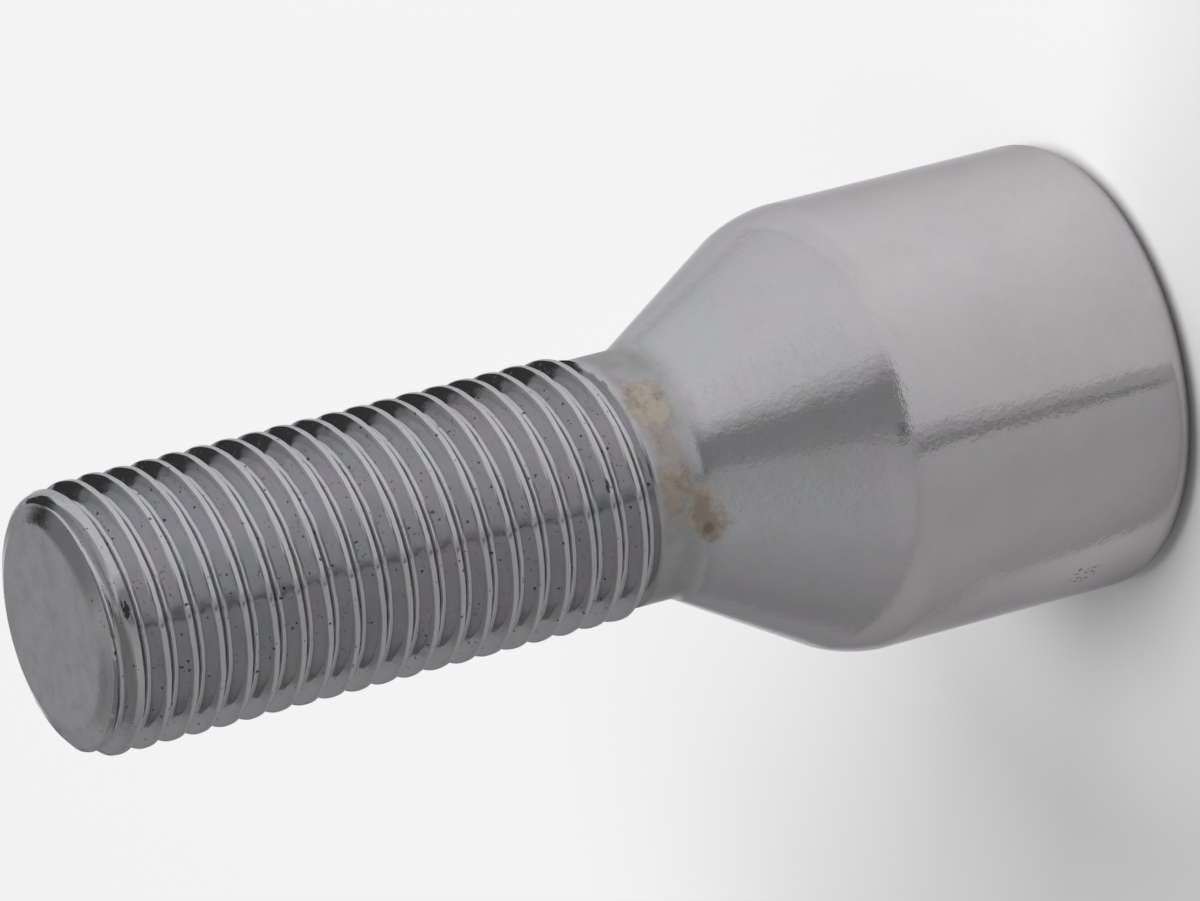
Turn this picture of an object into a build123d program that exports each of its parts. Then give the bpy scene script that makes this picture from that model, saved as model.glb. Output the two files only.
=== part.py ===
"""Wheel bolt with a round head, a 60 degree conical seat and an M14 x 1.5 thread.

The bolt stands on its head: the origin is the middle of the head's end face and
+Z runs along the bolt to the thread's tip. It is one solid, as forged and rolled.
"""

import math
import os

from build123d import *

os.makedirs("parts", exist_ok=True)

# Sizes in mm, angles in degrees. Head and seat.
bolt_length = 60.2
head_diameter = 23.7
barrel_height = 17.05
rim_radius = 1.6
shoulder_radius = 5.4
seat_angle = 60.0

# Neck and thread. The neck is the blank that the thread is rolled from.
neck_diameter = 13.14
neck_height = 3.15
neck_radius = 1.6
thread_diameter = 13.9
thread_pitch = 1.5
thread_angle = 60.0

# Tip: a flat face, a shallow crown around it and a steeper lead-in to the first turn.
face_diameter = 9.0
crown_diameter = 12.2
crown_height = 0.4
crown_radius = 1.5
lead_height = 0.7

# Drive socket in the head's end face.
socket_across_flats = 14.0
socket_depth = 12.0
socket_bevel = 0.5
drill_point_angle = 118.0

# Values that follow from the sizes above.
head_r = head_diameter / 2
neck_r = neck_diameter / 2
crest_r = thread_diameter / 2
face_r = face_diameter / 2
crown_r = crown_diameter / 2
seat_height = (head_r - neck_r) / math.tan(math.radians(seat_angle / 2))
neck_z = barrel_height + seat_height
thread_z = neck_z + neck_height
crown_z = bolt_length - crown_height

# The profile's plane is turned about Z so that the seam of the turned faces
# stays clear of the two places where the thread groove begins and ends.
seam_turn = math.radians(57)
profile_plane = Plane(
    origin=(0, 0, 0),
    x_dir=(math.cos(seam_turn), math.sin(seam_turn), 0),
    z_dir=(math.sin(seam_turn), -math.cos(seam_turn), 0),
)

# The groove is a 60 degree V with a narrow flat root. Its section reaches past
# the crests, and neighbouring turns still stay apart there.
half_angle = math.radians(thread_angle / 2)
groove_depth = 0.487 * thread_pitch
root_half = 0.09 * thread_pitch
overshoot = 0.15 * thread_pitch
mouth_half = root_half + (groove_depth + overshoot) * math.tan(half_angle)
root_r = crest_r - groove_depth
groove_z = thread_z - 0.19 * thread_pitch
groove_turns = math.ceil((bolt_length - groove_z) / thread_pitch) + 1

groove_plane = Plane(origin=(-root_r, 0, groove_z), x_dir=(-1, 0, 0), z_dir=(0, 1, 0))

# The run-out is about half a turn in which the groove climbs out of the neck.
run_out_height = thread_pitch / 2
run_out_climb = neck_r - root_r + 0.1
run_out_angle = math.degrees(math.atan2(run_out_climb, run_out_height))

# The socket's mouth bevel reaches in past the flats, its drilled point touches them.
socket_r = socket_across_flats / 2
mouth_r = socket_across_flats / math.sqrt(3) + socket_bevel
mouth_height = mouth_r - 0.95 * socket_r
point_height = socket_r / math.tan(math.radians(drill_point_angle / 2))
from_base = (Align.CENTER, Align.CENTER, Align.MIN)

with BuildPart() as wheel_bolt:
    # Half profile of the blank, from the head's end face up to the tip.
    with BuildSketch(profile_plane) as profile:
        with BuildLine():
            Polyline(
                (0, 0),
                (head_r, 0),
                (head_r, barrel_height),
                (neck_r, neck_z),
                (neck_r, thread_z),
                (crest_r, thread_z + crest_r - neck_r),
                (crest_r, crown_z - lead_height),
                (crown_r, crown_z),
                (face_r, bolt_length),
                (0, bolt_length),
                close=True,
            )
        make_face()
        fillet(profile.vertices().sort_by_distance((head_r, 0))[0], radius=rim_radius)
        fillet(profile.vertices().sort_by_distance((head_r, barrel_height))[0], radius=shoulder_radius)
        fillet(profile.vertices().sort_by_distance((neck_r, neck_z))[0], radius=neck_radius)
        fillet(profile.vertices().sort_by_distance((face_r, bolt_length))[0], radius=crown_radius)
    revolve(axis=Axis.Z)

    # Thread groove, turn by turn from the neck's -X side up and out past the tip.
    with BuildSketch(groove_plane) as groove_section:
        with BuildLine():
            Polyline(
                (0, -root_half),
                (groove_depth + overshoot, -mouth_half),
                (groove_depth + overshoot, mouth_half),
                (0, root_half),
                close=True,
            )
        make_face()
    with BuildLine() as turn_path:
        from_plus_x = Helix(thread_pitch, thread_pitch, root_r, (0, 0, groove_z), mode=Mode.PRIVATE)
        add(from_plus_x.rotate(Axis.Z, 180))
    one_turn = sweep(groove_section.sketch, turn_path.line, is_frenet=True, mode=Mode.PRIVATE)
    groove = [one_turn.translate((0, 0, turn * thread_pitch)) for turn in range(groove_turns)]

    # Run-out, wound down from the same section while its radius grows.
    with BuildLine() as run_out_path:
        Helix(thread_pitch, run_out_height, root_r, (0, 0, groove_z), (0, 0, -1), run_out_angle)
    run_out = sweep(groove_section.sketch, run_out_path.line, is_frenet=True, mode=Mode.PRIVATE)
    add(groove + [run_out], mode=Mode.SUBTRACT)

    # Hexagon socket with a drilled point at its bottom and a bevelled mouth.
    with BuildSketch(Plane.XY) as socket_section:
        RegularPolygon(radius=socket_r, side_count=6, major_radius=False)
    extrude(socket_section.sketch, amount=socket_depth, mode=Mode.SUBTRACT)
    with Locations((0, 0, socket_depth)):
        Cone(socket_r, 0, point_height, align=from_base, mode=Mode.SUBTRACT)
    Cone(mouth_r, mouth_r - mouth_height, mouth_height, align=from_base, mode=Mode.SUBTRACT)

wheel_bolt.part.label = "wheel_bolt"
export_step(wheel_bolt.part, "parts/wheel_bolt.step")
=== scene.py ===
import math

import bmesh
import bpy
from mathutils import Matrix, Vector, noise as wave


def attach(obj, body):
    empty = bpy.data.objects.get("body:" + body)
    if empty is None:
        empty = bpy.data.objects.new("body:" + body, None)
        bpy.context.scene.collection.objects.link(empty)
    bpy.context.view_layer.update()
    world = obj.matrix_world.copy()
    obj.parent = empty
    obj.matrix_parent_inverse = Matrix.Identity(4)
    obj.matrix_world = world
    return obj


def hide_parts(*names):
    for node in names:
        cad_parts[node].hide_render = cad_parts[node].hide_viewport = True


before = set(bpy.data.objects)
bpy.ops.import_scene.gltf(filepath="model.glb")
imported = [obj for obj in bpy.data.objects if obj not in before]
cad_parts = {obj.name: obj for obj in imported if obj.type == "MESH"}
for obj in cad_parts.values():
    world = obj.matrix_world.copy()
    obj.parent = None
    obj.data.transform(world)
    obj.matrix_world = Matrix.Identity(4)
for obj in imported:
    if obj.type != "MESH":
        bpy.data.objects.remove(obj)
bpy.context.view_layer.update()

# Bolt blank: one piece of steel, cold forged with a round head, a conical seat
# and a plain neck. Its half profile is a chain of corners in mm, rounded where
# the forging is rounded and turned about the bolt's axis.
MM = 0.001
COLUMNS = 144
WELD = 0.0008
head_r = 11.85
barrel_top = 17.05
rim_round = 1.6
shoulder_round = 5.4
half_seat = math.radians(30)
neck_r = 6.57
neck_z = 26.195
neck_round = 1.6
join_z = 27.6
mouth_r = 8.58
mouth_bevel = 0.4
mouth_round = 0.12


def chain(mesh, corners):
    """Joins corners given as radius and height into one open chain of edges."""
    verts = [mesh.verts.new((r, 0.0, z)) for r, z in corners]
    for first, second in zip(verts, verts[1:]):
        mesh.edges.new((first, second))
    return verts


def round_corner(mesh, vert, length, segments):
    """Rounds one corner of a chain, starting the curve at this distance from it."""
    bmesh.ops.bevel(mesh, geom=[vert], offset=length, offset_type='OFFSET', segments=segments,
                    profile=0.5, affect='VERTICES', material=-1)


def turn(mesh, rise=0.0):
    """Turns a chain once about the bolt's axis, climbing by this height in all."""
    bmesh.ops.spin(mesh, geom=mesh.verts[:] + mesh.edges[:], cent=(0, 0, 0), axis=(0, 0, 1),
                   dvec=(0, 0, rise / COLUMNS), angle=math.tau, steps=COLUMNS,
                   use_merge=rise == 0)
    bmesh.ops.remove_doubles(mesh, verts=mesh.verts[:], dist=WELD)


blank = bmesh.new()
corners = chain(blank, [
    (mouth_r - mouth_bevel, mouth_bevel),
    (mouth_r, 0.0),
    (head_r, 0.0),
    (head_r, barrel_top),
    (neck_r, neck_z),
    (neck_r, join_z),
])
round_corner(blank, corners[1], mouth_round, 3)
round_corner(blank, corners[2], rim_round, 10)
round_corner(blank, corners[3], shoulder_round * math.tan(half_seat / 2), 12)
round_corner(blank, corners[4], neck_round * math.tan(half_seat / 2), 6)
turn(blank)

# Drive socket: a hexagon punched into the head's end face, with a bevelled
# mouth and a drilled point. The rings are drawn inwards from the mouth's edge.
flat_r = 7.0
wall_z = 0.45
wall_lean = 0.001
socket_depth = 12.0
point_r = 6.85
point_z = 16.1
near = 0.01


def at_mouth(vert):
    """Whether a vertex lies on the inner edge of the bevelled mouth."""
    across = vert.co.xy.length - (mouth_r - mouth_bevel)
    return abs(vert.co.z - mouth_bevel) < near and abs(across) < near


def hexagon(angle):
    """Distance from the axis to the hexagon's wall; two of its corners lie on the X axis."""
    from_flat = (angle % (math.pi / 3)) - math.pi / 6
    return flat_r / math.cos(from_flat)


def draw_in(edges, place):
    """Extrudes a ring of edges and moves each new vertex to place(angle)."""
    made = bmesh.ops.extrude_edge_only(blank, edges=edges)["geom"]
    for vert in (g for g in made if isinstance(g, bmesh.types.BMVert)):
        angle = math.atan2(vert.co.y, vert.co.x)
        r, z = place(angle)
        vert.co = (r * math.cos(angle), r * math.sin(angle), z)
    return [g for g in made if isinstance(g, bmesh.types.BMEdge)]


ring = [e for e in blank.edges if at_mouth(e.verts[0]) and at_mouth(e.verts[1])]
ring = draw_in(ring, lambda a: (hexagon(a) - wall_lean, max(mouth_r - hexagon(a), wall_z)))
ring = draw_in(ring, lambda a: (hexagon(a), socket_depth))
ring = draw_in(ring, lambda a: (point_r, socket_depth))
draw_in(ring, lambda a: (0.0, point_z))

# Thread: M14 x 1.5, right hand, rolled into the shank between two dies, so its
# crests and roots are softly rounded, its turns are slightly uneven and it
# fades out into the neck.
pitch = 1.5
turns = 24
crest_r = 6.95
crest_half = 0.14
crest_round = 0.055
root_r = 6.13
root_half = 0.137
root_round = 0.12
longest_step = 0.1
last_crest_z = 59.135
first_crest_z = last_crest_z - (turns - 1) * pitch
thread_z = 29.345
groove_start_z = 29.13
groove_start_angle = math.pi
climb_out = 0.45
over_crests = 0.1
limit_softness = 0.05
lead_in = [(58.35, crest_r), (58.95, 6.77), (59.5, 6.58), (59.75, 6.24)]
tip_join_z, tip_join_r = lead_in[-1]
uneven = 0.026
ripple_out = 0.8
ripple_along = 1.3
ripple_shift = Vector((50, 0, 0))

thread = bmesh.new()
flank = pitch / 2 - crest_half - root_half
corners = chain(thread, [
    (crest_r, first_crest_z),
    (crest_r, first_crest_z + crest_half),
    (root_r, first_crest_z + crest_half + flank),
    (root_r, first_crest_z + pitch - crest_half - flank),
    (crest_r, first_crest_z + pitch - crest_half),
    (crest_r, first_crest_z + pitch),
])
for vert, length, segments in (
        (corners[1], crest_round, 3), (corners[2], root_round, 4),
        (corners[3], root_round, 4), (corners[4], crest_round, 3)):
    round_corner(thread, vert, length, segments)
bmesh.ops.spin(thread, geom=thread.verts[:] + thread.edges[:], cent=(0, 0, 0), axis=(0, 0, 1),
               dvec=(0, 0, pitch), angle=0.0, steps=turns - 1, use_duplicate=True)
bmesh.ops.remove_doubles(thread, verts=thread.verts[:], dist=WELD)
long_edges = [e for e in thread.edges if e.calc_length() > longest_step]
bmesh.ops.subdivide_edges(thread, edges=long_edges, cuts=2)
turn(thread, rise=pitch)


def soft_min(a, b, width):
    """The smaller of two lengths, rounded where one takes over from the other."""
    h = min(max(0.5 + 0.5 * (b - a) / width, 0.0), 1.0)
    return b + (a - b) * h - width * h * (1 - h)


def limit_r(z):
    """Radius of the rolled blank: the neck, the first rising turn and the lead-in."""
    if z < thread_z:
        return neck_r
    for (low_z, low_r), (high_z, high_r) in zip(lead_in, lead_in[1:]):
        if low_z < z <= high_z:
            return low_r + (high_r - low_r) * (z - low_z) / (high_z - low_z)
    return min(neck_r + (z - thread_z), crest_r + over_crests)


# Below its start the groove climbs out of the neck, by climb_out in each half turn.
for vert in thread.verts:
    angle = math.atan2(vert.co.y, vert.co.x)
    radius = vert.co.xy.length
    z = min(max(vert.co.z, join_z), tip_join_z)
    turned = ((angle - groove_start_angle) % math.tau) / math.tau
    nearest = round((vert.co.z - groove_start_z) / pitch - turned) + turned
    if nearest < 0:
        radius += climb_out * min(-nearest * 2, 2.0)
    radius = soft_min(radius, limit_r(z), limit_softness)
    if thread_z < z < tip_join_z:
        radius += uneven * wave.noise(vert.co * ripple_out)
        z = min(z + uneven * wave.noise(vert.co * ripple_along + ripple_shift), tip_join_z)
    if z <= join_z:
        radius = neck_r
    if z >= tip_join_z:
        radius = tip_join_r
    vert.co = (radius * math.cos(angle), radius * math.sin(angle), z)
bmesh.ops.remove_doubles(thread, verts=thread.verts[:], dist=WELD)

# Tip: a flat sawn face with a worn edge, inside a shallow crown that leads the
# bolt into its hole.
crown_r = 6.1
crown_z = 59.8
crown_round = 0.03
face_r = 5.15
face_round = 0.2
tip_z = 60.2

tip = bmesh.new()
corners = chain(tip, [
    (tip_join_r, tip_join_z),
    (crown_r, crown_z),
    (face_r, tip_z),
    (0.0, tip_z),
])
round_corner(tip, corners[1], crown_round, 2)
round_corner(tip, corners[2], face_round, 4)
turn(tip)

# Whole bolt: forged, punched and rolled from one piece of steel. The three
# meshes share their rings, so joining them leaves one closed skin.
ring_weld = 0.002
sharp = math.radians(42)

whole = bmesh.new()
for part in (blank, thread, tip):
    part_mesh = bpy.data.meshes.new("part_of_bolt")
    part.to_mesh(part_mesh)
    part.free()
    whole.from_mesh(part_mesh)
    bpy.data.meshes.remove(part_mesh)
bmesh.ops.remove_doubles(whole, verts=whole.verts[:], dist=ring_weld)
bmesh.ops.recalc_face_normals(whole, faces=whole.faces[:])
for face in whole.faces:
    face.smooth = True
for edge in whole.edges:
    edge.smooth = edge.calc_face_angle(0.0) < sharp
bmesh.ops.scale(whole, vec=(MM, MM, MM), verts=whole.verts[:])
bolt_mesh = bpy.data.meshes.new("wheel_bolt_chromed")
whole.to_mesh(bolt_mesh)
whole.free()
bolt = bpy.data.objects.new("wheel_bolt_chromed", bolt_mesh)
bpy.context.scene.collection.objects.link(bolt)
even = bolt.modifiers.new("even_normals", 'WEIGHTED_NORMAL')
even.keep_sharp = True

# Plate: bright chrome over the steel, not quite even, with fine pits and a few
# chips. Damp in the corner between neck and seat left a cream and brown stain.
# Heights are in mm, and places on the plate are an angle and a height.
blue_chrome = (0.510, 0.522, 0.534, 1)
violet_chrome = (0.526, 0.514, 0.548, 1)
warm_chrome = (0.556, 0.524, 0.538, 1)
dim_chrome = (0.36, 0.355, 0.37, 1)
filmed_chrome = (0.31, 0.303, 0.307, 1)
worn_chrome = (0.40, 0.40, 0.42, 1)
slant_tint = (0.62, 0.62, 0.63, 1)
cream_stain = (0.43, 0.375, 0.315, 1)
brown_stain = (0.25, 0.205, 0.165, 1)
rust_stain = (0.145, 0.108, 0.082, 1)
dried_stain = (0.19, 0.155, 0.125, 1)
bare_pit = (0.03, 0.028, 0.028, 1)
chrome = bpy.data.materials.new("chrome_plate")
chrome.use_nodes = True
plate = chrome.node_tree


def add_node(tree, kind, inputs, **settings):
    """Adds a shader node. Inputs are plain values, or the sockets that feed them."""
    made = tree.nodes.new("ShaderNode" + kind)
    for name, value in settings.items():
        setattr(made, name, value)
    for name, value in inputs.items():
        if isinstance(value, bpy.types.NodeSocket):
            tree.links.new(value, made.inputs[name])
        else:
            made.inputs[name].default_value = value
    return made


def calc(tree, operation, *values):
    """One Math node on numbers or sockets."""
    return add_node(tree, "Math", dict(enumerate(values)), operation=operation).outputs[0]


def soft_step(tree, value, start, end):
    """Goes smoothly from 0 at start to 1 at end."""
    return add_node(tree, "MapRange", {"Value": value, "From Min": start, "From Max": end},
                    interpolation_type='SMOOTHSTEP').outputs["Result"]


def blend(tree, amount, under, over):
    """Mixes two colours by a mask."""
    return add_node(tree, "Mix", {"Factor": amount, 6: under, 7: over},
                    data_type='RGBA').outputs[2]


place = add_node(plate, "TexCoord", {}).outputs["Object"]
in_mm = add_node(plate, "VectorMath", {0: place, "Scale": 1 / MM}, operation='SCALE').outputs[0]
axes = add_node(plate, "SeparateXYZ", {0: in_mm})
height = axes.outputs["Z"]
around = calc(plate, 'ARCTAN2', axes.outputs["Y"], axes.outputs["X"])
along_neck = calc(plate, 'MULTIPLY', around, neck_r)
unrolled = add_node(plate, "CombineXYZ", {0: along_neck, 1: height}).outputs[0]


def noise(scale, detail, roughness=0.5):
    """A cloudy pattern all over the plate, with about this many clouds to a mm."""
    return add_node(plate, "TexNoise", {"Vector": in_mm, "Scale": scale, "Detail": detail,
                                        "Roughness": roughness}).outputs["Fac"]


def clouds(scale, detail, roughness, start, end):
    """Mask of the denser places of such a pattern."""
    return soft_step(plate, noise(scale, detail, roughness), start, end)


def patch(angle, z, half_width, half_height):
    """Distance from the middle of an oval patch, 1 at its border, on the unrolled neck."""
    middle = (math.radians((angle + 180) % 360 - 180) * neck_r, z, 0.0)
    spread = add_node(plate, "Mapping", {"Vector": unrolled, "Location": middle,
                                         "Scale": (half_width, half_height, 1.0)},
                      vector_type='TEXTURE').outputs[0]
    return add_node(plate, "VectorMath", {0: spread}, operation='LENGTH').outputs["Value"]


def mark(oval, rough, wandering, outside, inside):
    """Mask of a patch with a wandering border that fades outwards."""
    ragged = calc(plate, 'MULTIPLY_ADD', rough, wandering, patch(*oval))
    return soft_step(plate, ragged, outside, inside)


wander = calc(plate, 'SUBTRACT', noise(1.1, 4.0, 0.6), 0.5)


def stained(*oval):
    """Mask of one patch of the stain."""
    return mark(oval, wander, 1.3, 1.25, 0.30)


# Stain: dried cream with browner and rusty places in it, and a dull film round it.
stain = stained(301, 27.9, 1.9, 1.35)
for strength, oval in (
        (0.45, (280, 27.8, 1.8, 0.95)), (0.85, (260, 27.9, 1.9, 1.05)),
        (1.0, (247, 26.6, 1.5, 1.1)), (1.0, (240, 26.1, 1.15, 0.95))):
    stain = calc(plate, 'MAXIMUM', stain, calc(plate, 'MULTIPLY', stained(*oval), strength))
stain = soft_step(plate, stain, 0.0, 0.75)
browned = calc(plate, 'MAXIMUM', stained(240, 26.2, 1.2, 0.95), stained(248, 26.6, 1.1, 0.85))
faint_brown = calc(plate, 'MULTIPLY', stained(256, 27.9, 1.9, 1.3), 0.6)
browned = calc(plate, 'MAXIMUM', browned, faint_brown)
rust_spot = soft_step(plate, patch(238, 26.3, 0.42, 0.34), 1.2, 0.4)
mottle = clouds(1.0, 5.0, 0.75, 0.44, 0.66)
rusty = calc(plate, 'MAXIMUM', rust_spot, calc(plate, 'MULTIPLY', mottle, 0.65))
dried_edge = calc(plate, 'MULTIPLY', soft_step(plate, stain, 0.15, 0.5),
                  soft_step(plate, stain, 1.0, 0.6))
cream = blend(plate, browned, cream_stain, brown_stain)
cream = blend(plate, rusty, cream, rust_stain)
cream = blend(plate, calc(plate, 'MULTIPLY', dried_edge, 0.3), cream, dried_stain)
film = calc(plate, 'MULTIPLY', soft_step(plate, height, 25.3, 26.8),
            soft_step(plate, height, 29.6, 28.6))

# Tint: bluish and violet chrome in turn, warmer on the head, dimmer in places,
# filmed at the neck and worn on the tip's face.
cloud = calc(plate, 'MULTIPLY', clouds(0.16, 3.0, 0.5, 0.35, 0.65), 0.4)
warm = calc(plate, 'MULTIPLY_ADD', soft_step(plate, height, 22.0, 15.0), 0.6, cloud)
cool = blend(plate, clouds(0.5, 3.0, 0.5, 0.42, 0.58), blue_chrome, violet_chrome)
bright = blend(plate, warm, cool, warm_chrome)
cloudy = calc(plate, 'MULTIPLY', clouds(0.3, 6.0, 0.7, 0.42, 0.72), 0.16)
dim = calc(plate, 'MULTIPLY_ADD', clouds(3.2, 4.0, 0.75, 0.40, 0.68), 0.10, cloudy)
bright = blend(plate, dim, bright, dim_chrome)
blotch = calc(plate, 'MULTIPLY_ADD', clouds(0.7, 4.0, 0.6, 0.3, 0.7), 0.3, 0.6)
bright = blend(plate, calc(plate, 'MULTIPLY', film, blotch), bright, filmed_chrome)
worn = calc(plate, 'MULTIPLY', soft_step(plate, height, 60.0, 60.15),
            clouds(0.8, 5.0, 0.7, 0.35, 0.7))
bright = blend(plate, calc(plate, 'MULTIPLY', worn, 0.4), bright, worn_chrome)

# Pits: most of them on the thread, finer specks between them, one scuffed place
# on the head and five chips on the thread's crests.
torn = add_node(plate, "TexNoise", {"Vector": in_mm, "Scale": 6.0, "Detail": 2.0})
torn_place = add_node(plate, "VectorMath", {0: torn.outputs["Color"], 1: (0.2, 0.2, 0.2), 2: in_mm},
                      operation='MULTIPLY_ADD').outputs[0]


def pits(scale, rarity, growth, border):
    """Pits in those cells of a random pattern whose number is above the rarity."""
    cells = add_node(plate, "TexVoronoi", {"Vector": torn_place, "Scale": scale}, feature='F1')
    number = add_node(plate, "SeparateColor", {0: cells.outputs["Color"]}).outputs["Red"]
    above = calc(plate, 'MAXIMUM', calc(plate, 'SUBTRACT', number, rarity), 0.0)
    size = calc(plate, 'ADD', calc(plate, 'MULTIPLY', above, growth), 0.0001)
    away = calc(plate, 'DIVIDE', cells.outputs["Distance"], size)
    return soft_step(plate, away, 1.0, border)


on_thread = calc(plate, 'MULTIPLY', soft_step(plate, height, 28.0, 31.0),
                 soft_step(plate, height, 60.15, 59.9))
pit_rarity = calc(plate, 'MULTIPLY_ADD', on_thread, -0.36, 0.90)
scuff = mark((204.6, 5.6, 0.72, 1.3), wander, 1.8, 1.2, 0.4)
speck_rarity = calc(plate, 'MULTIPLY_ADD', on_thread, -0.24, 0.95)
speck_rarity = calc(plate, 'MULTIPLY_ADD', scuff, -0.70, speck_rarity)
specks = calc(plate, 'MULTIPLY', pits(5.5, speck_rarity, 1.1, 0.6), 0.85)
pit = calc(plate, 'MAXIMUM', pits(2.2, pit_rarity, 0.5, 0.7), specks)
jag = calc(plate, 'SUBTRACT', noise(3.5, 3.0, 0.7), 0.5)
for chip in ((269.3, 58.85, 0.48, 0.17), (268.6, 31.85, 0.36, 0.09), (251.5, 59.61, 0.16, 0.12),
             (213.0, 56.40, 0.16, 0.14), (264.0, 29.67, 0.12, 0.12)):
    pit = calc(plate, 'MAXIMUM', pit, mark(chip, jag, 2.4, 1.0, 0.75))

# Surface: a slight orange peel, less of it on the rolled thread, and sunk pits.
# It is duller at the film, the rim and the tip's face, and matt where stained.
peel = calc(plate, 'MULTIPLY', noise(5.5, 3.0, 0.65), 0.008)
peel = calc(plate, 'MULTIPLY_ADD', noise(0.5, 2.0), 0.025, peel)
peel = calc(plate, 'MULTIPLY_ADD', noise(2.2, 2.0), 0.012, peel)
peel = calc(plate, 'MULTIPLY', peel, calc(plate, 'MULTIPLY_ADD', on_thread, -0.7, 1.0))
sunk = calc(plate, 'SUBTRACT', peel, calc(plate, 'MULTIPLY', pit, 0.01))
bump = add_node(plate, "Bump", {"Height": sunk, "Strength": 1.0, "Distance": MM})
dull_rim = calc(plate, 'MULTIPLY', soft_step(plate, height, 3.0, 0.8), 0.20)
dulled = calc(plate, 'MAXIMUM', calc(plate, 'MULTIPLY', film, 0.16), dull_rim)
dulled = calc(plate, 'MAXIMUM', dulled, calc(plate, 'MULTIPLY', worn, 0.2))
rough = calc(plate, 'MULTIPLY_ADD', stain, 0.35, calc(plate, 'ADD', dulled, 0.10))
metal = calc(plate, 'MULTIPLY_ADD', stain, -0.85, 1.0)
colour = blend(plate, calc(plate, 'MULTIPLY', stain, 0.9), bright, cream)
colour = blend(plate, calc(plate, 'MULTIPLY', pit, 0.88), colour, bare_pit)
shader = plate.nodes["Principled BSDF"]
shader.inputs["Specular Tint"].default_value = slant_tint
plate.links.new(colour, shader.inputs["Base Color"])
plate.links.new(metal, shader.inputs["Metallic"])
plate.links.new(rough, shader.inputs["Roughness"])
plate.links.new(bump.outputs["Normal"], shader.inputs["Normal"])
bolt_mesh.materials.append(chrome)
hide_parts("wheel_bolt")
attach(bolt, "root")

# Floor: a wide matt white board under the bolt, with painted shade in rings round it:
# a painted shadow close to the bolt's foot, darker towards the camera and on one side.
# A grey sheet of painted shade, with a dark painted stripe, lies on it beside the bolt,
# outside the picture. The bright metal mirrors both, as its darker side and its dark line.
reach = 1500
white = (0.97, 0.97, 0.97, 1)
sheet_lift = 0.1
sheet_centre = (-2.2, -11.7)


def ramp_round(tree, along_x, along_y, levels):
    """Grey levels given by the angle about the bolt, in degrees from the camera's side."""
    angle = calc(tree, 'ARCTAN2', along_x, calc(tree, 'MULTIPLY', along_y, -1.0))
    share = add_node(tree, "MapRange", {"Value": angle, "From Min": -math.pi,
                                        "From Max": math.pi}).outputs["Result"]
    ramp = add_node(tree, "ValToRGB", {"Fac": share})
    for _ in levels[2:]:
        ramp.color_ramp.elements.new(0.5)
    for element, (degrees, level) in zip(ramp.color_ramp.elements, levels):
        element.position = (degrees + 180) / 360
        element.color = (level, level, level, 1)
    return ramp.outputs["Color"]


def lay_flat(name, outline, lift, centre, rings):
    """A flat sheet on the floor, in mm, coloured with painted shade. Each ring of painted
    grey levels fades in between two distances from the bolt, and its angles are measured about the
    centre."""
    flat = bmesh.new()
    face = flat.faces.new([flat.verts.new((x * MM, y * MM, lift * MM)) for x, y in outline])
    bmesh.ops.recalc_face_normals(flat, faces=[face])
    if face.normal.z < 0:
        bmesh.ops.reverse_faces(flat, faces=[face])
    mesh = bpy.data.meshes.new(name)
    flat.to_mesh(mesh)
    flat.free()
    made = bpy.data.objects.new(name, mesh)
    bpy.context.scene.collection.objects.link(made)

    paint = bpy.data.materials.new(name)
    paint.use_nodes = True
    tree = paint.node_tree
    point = add_node(tree, "TexCoord", {}).outputs["Object"]
    middle = (centre[0] * MM, centre[1] * MM, 0.0)
    from_centre = add_node(tree, "VectorMath", {0: point, 1: middle}, operation='SUBTRACT')
    spot = add_node(tree, "SeparateXYZ", {0: from_centre.outputs[0]})
    away = add_node(tree, "VectorMath", {0: point}, operation='LENGTH').outputs["Value"]
    grey = white
    for start, end, levels in rings:
        ring = ramp_round(tree, spot.outputs["X"], spot.outputs["Y"], levels)
        grey = blend(tree, soft_step(tree, away, start * MM, end * MM), grey, ring)
    matt = tree.nodes["Principled BSDF"]
    matt.inputs["Roughness"].default_value = 1.0
    matt.inputs["Specular IOR Level"].default_value = 0.0
    tree.links.new(grey, matt.inputs["Base Color"])
    mesh.materials.append(paint)


# Painted shade in rings: a painted shadow near the bolt's foot, darker towards the camera and on
# one side, and plain light grey far out.
lay_flat("floor", [(-reach, -reach), (reach, -reach), (reach, reach), (-reach, reach)],
         0.0, (0, 0), [
    (9, 11, [
        (-180, 0.95), (-140, 0.95), (-115, 0.88), (-100, 0.90), (-70, 0.80), (-40, 0.72),
        (-14, 0.72), (0, 0.76), (12, 0.80), (30, 0.86), (55, 0.97), (180, 0.97)]),
    (16, 28, [
        (-180, 0.97), (-165, 0.90), (-140, 0.72), (-120, 0.64), (-100, 0.65), (-60, 0.66),
        (-22, 0.66), (-14, 0.70), (0, 0.745), (12, 0.79), (30, 0.85), (55, 0.97), (180, 0.97)]),
    (50, 80, [
        (-180, 0.97), (-22, 0.94), (-14, 0.65), (0, 0.72), (12, 0.78), (30, 0.81),
        (50, 0.92), (110, 0.90), (130, 0.97), (180, 0.97)]),
    (180, 500, [(-180, 0.78), (180, 0.78)]),
])
# Painted shade: a grey sheet beside the bolt with a dark painted stripe, both mirrored in the metal
# as its darker side and its dark line.
lay_flat("painted_shade_sheet", [(-1.6, -12.8), (-31.4, 1.7), (-26, 170), (-20, reach), (-reach, reach),
                        (-reach, -reach), (-352, -reach)],
         sheet_lift, sheet_centre, [
    (0, 1, [
        (-180, 0.50), (-120, 0.50), (-90, 0.52), (-60, 0.50), (-40, 0.53), (-25, 0.56),
        (-23.2, 0.56), (-22.6, 0.08), (-20.4, 0.08), (-19.8, 0.485), (0, 0.485), (180, 0.485)]),
    (180, 500, [(-180, 0.44), (180, 0.44)]),
])

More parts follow.
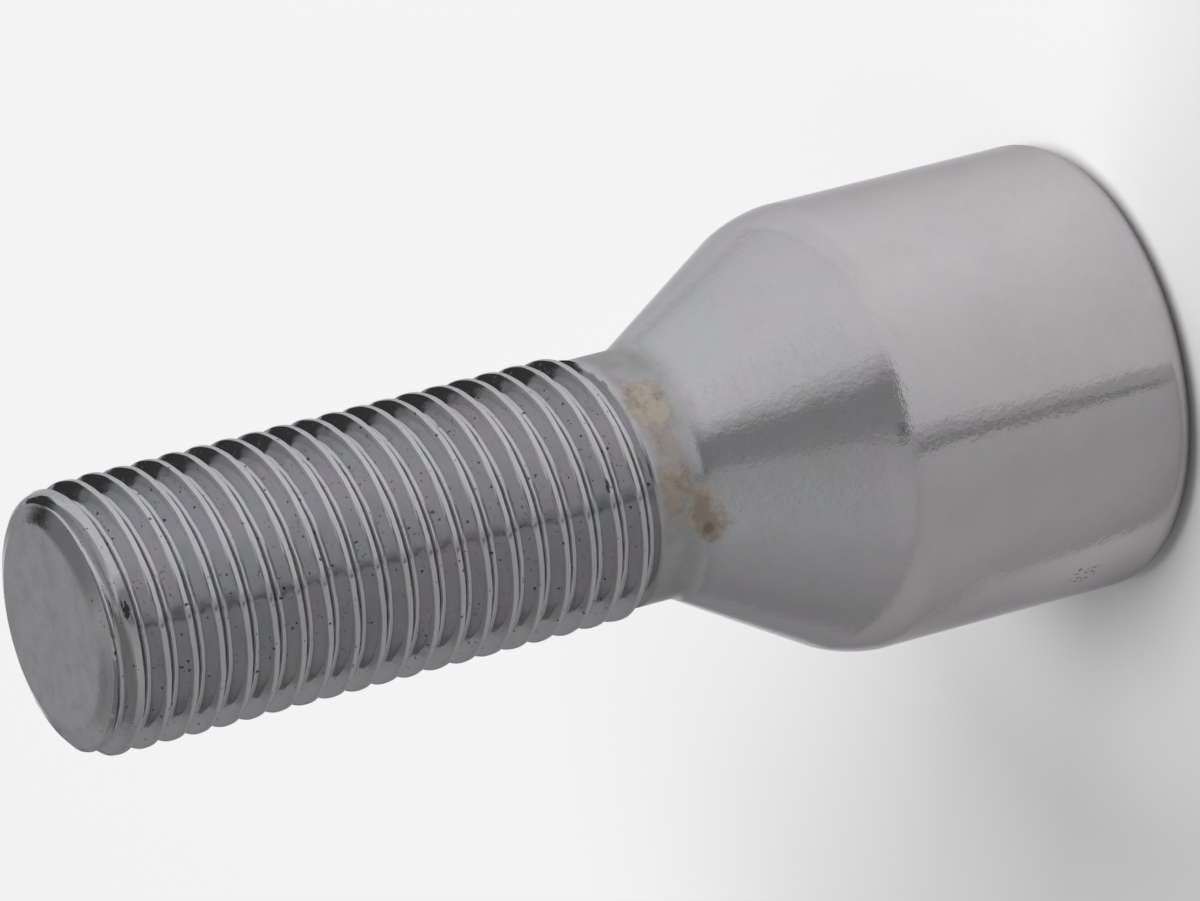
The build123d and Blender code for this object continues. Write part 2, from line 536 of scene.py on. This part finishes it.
# Light: a soft box overhead, in a pale tent that is brighter on one side and
# darker where it is open towards the camera. The box itself isn't mirrored in
# the metal; the tent's walls are.
key_distance = 3.0
key_turn = math.radians(50)
key_lift = math.radians(67)
key_data = bpy.data.lights.new("soft_box", 'AREA')
key_data.shape = 'DISK'
key_data.size = 2.6
key_data.energy = 62.0
key = bpy.data.objects.new("soft_box", key_data)
key.location = Vector((math.sin(key_turn) * math.cos(key_lift),
                       -math.cos(key_turn) * math.cos(key_lift),
                       math.sin(key_lift))) * key_distance
key.rotation_euler = (-key.location).to_track_quat('-Z', 'Y').to_euler()
key.visible_glossy = False
bpy.context.scene.collection.objects.link(key)

# Tent: its lower wall passes into the upper one about 30 degrees up. Three black
# cards hang in it: one behind, one low beside the camera and one above it.
black = (0.02, 0.02, 0.02, 1)
tent = bpy.data.worlds.new("tent")
bpy.context.scene.world = tent
tent.use_nodes = True
air = tent.node_tree
toward = add_node(air, "SeparateXYZ", {0: add_node(air, "TexCoord", {}).outputs["Generated"]})
rising = toward.outputs["Z"]


def wall(levels):
    """Grey levels round the tent."""
    return ramp_round(air, toward.outputs["X"], toward.outputs["Y"], levels)


low_wall = wall([
    (-180, 0.52), (-160, 0.46), (-145, 0.37), (-120, 0.33), (-100, 0.37), (-80, 0.42), (-60, 0.48),
    (-40, 0.50), (-22, 0.46), (-15, 0.44), (-13, 0.33), (8, 0.30), (15, 0.31), (17, 0.47),
    (26, 0.60), (29, 0.77), (45, 0.82), (60, 0.84), (110, 0.82), (150, 0.78), (166, 0.52),
    (180, 0.52)])
high_wall = wall([
    (-180, 0.46), (-160, 0.42), (-145, 0.24), (-110, 0.22), (-80, 0.24), (-60, 0.29), (-40, 0.37),
    (-20, 0.42), (-15, 0.42), (-13, 0.33), (8, 0.30), (15, 0.31), (17, 0.47), (26, 0.58),
    (29, 0.72), (40, 0.72), (52, 0.55), (65, 0.49), (90, 0.43), (115, 0.42), (130, 0.31),
    (150, 0.25), (165, 0.32), (180, 0.46)])
walls = blend(air, soft_step(air, rising, 0.454, 0.60), low_wall, high_wall)
behind = [(-180, 0.0), (127, 0.0), (133, 0.95), (158, 0.95), (164, 0.0), (180, 0.0)]
beside_camera = [(-180, 0.0), (-16, 0.0), (-14.5, 0.9), (-11, 0.9), (-9, 0.0), (180, 0.0)]
above_camera = [(-180, 0.0), (-18, 0.0), (-13, 0.95), (5, 0.95), (10, 0.0), (180, 0.0)]
cards = 0.0
for levels, foot, low, high, top in (
        (behind, 0.10, 0.16, 0.50, 0.62),
        (beside_camera, 0.03, 0.08, 0.14, 0.20),
        (above_camera, 0.60, 0.66, 0.90, 0.95)):
    band = calc(air, 'MULTIPLY', soft_step(air, rising, foot, low),
                soft_step(air, rising, top, high))
    cards = calc(air, 'MAXIMUM', cards, calc(air, 'MULTIPLY', wall(levels), band))
air.links.new(blend(air, cards, walls, black), air.nodes["Background"].inputs["Color"])

# Camera: the photograph's viewpoint, found from the bolt's outline. It is turned
# on its side, so that the standing bolt lies across the picture.
view_from = (0.0, -0.412545, 0.230747)
view_turn = (-27.0560, 60.3613, -120.6748)
lens = bpy.data.cameras.new("camera")
lens.lens = 270
lens.sensor_width = 36
lens.sensor_fit = 'HORIZONTAL'
lens.clip_start = 0.01
camera = bpy.data.objects.new("camera", lens)
camera.location = view_from
camera.rotation_euler = [math.radians(a) for a in view_turn]
bpy.context.scene.collection.objects.link(camera)
bpy.context.scene.camera = camera
bpy.context.scene.view_settings.view_transform = 'Standard'
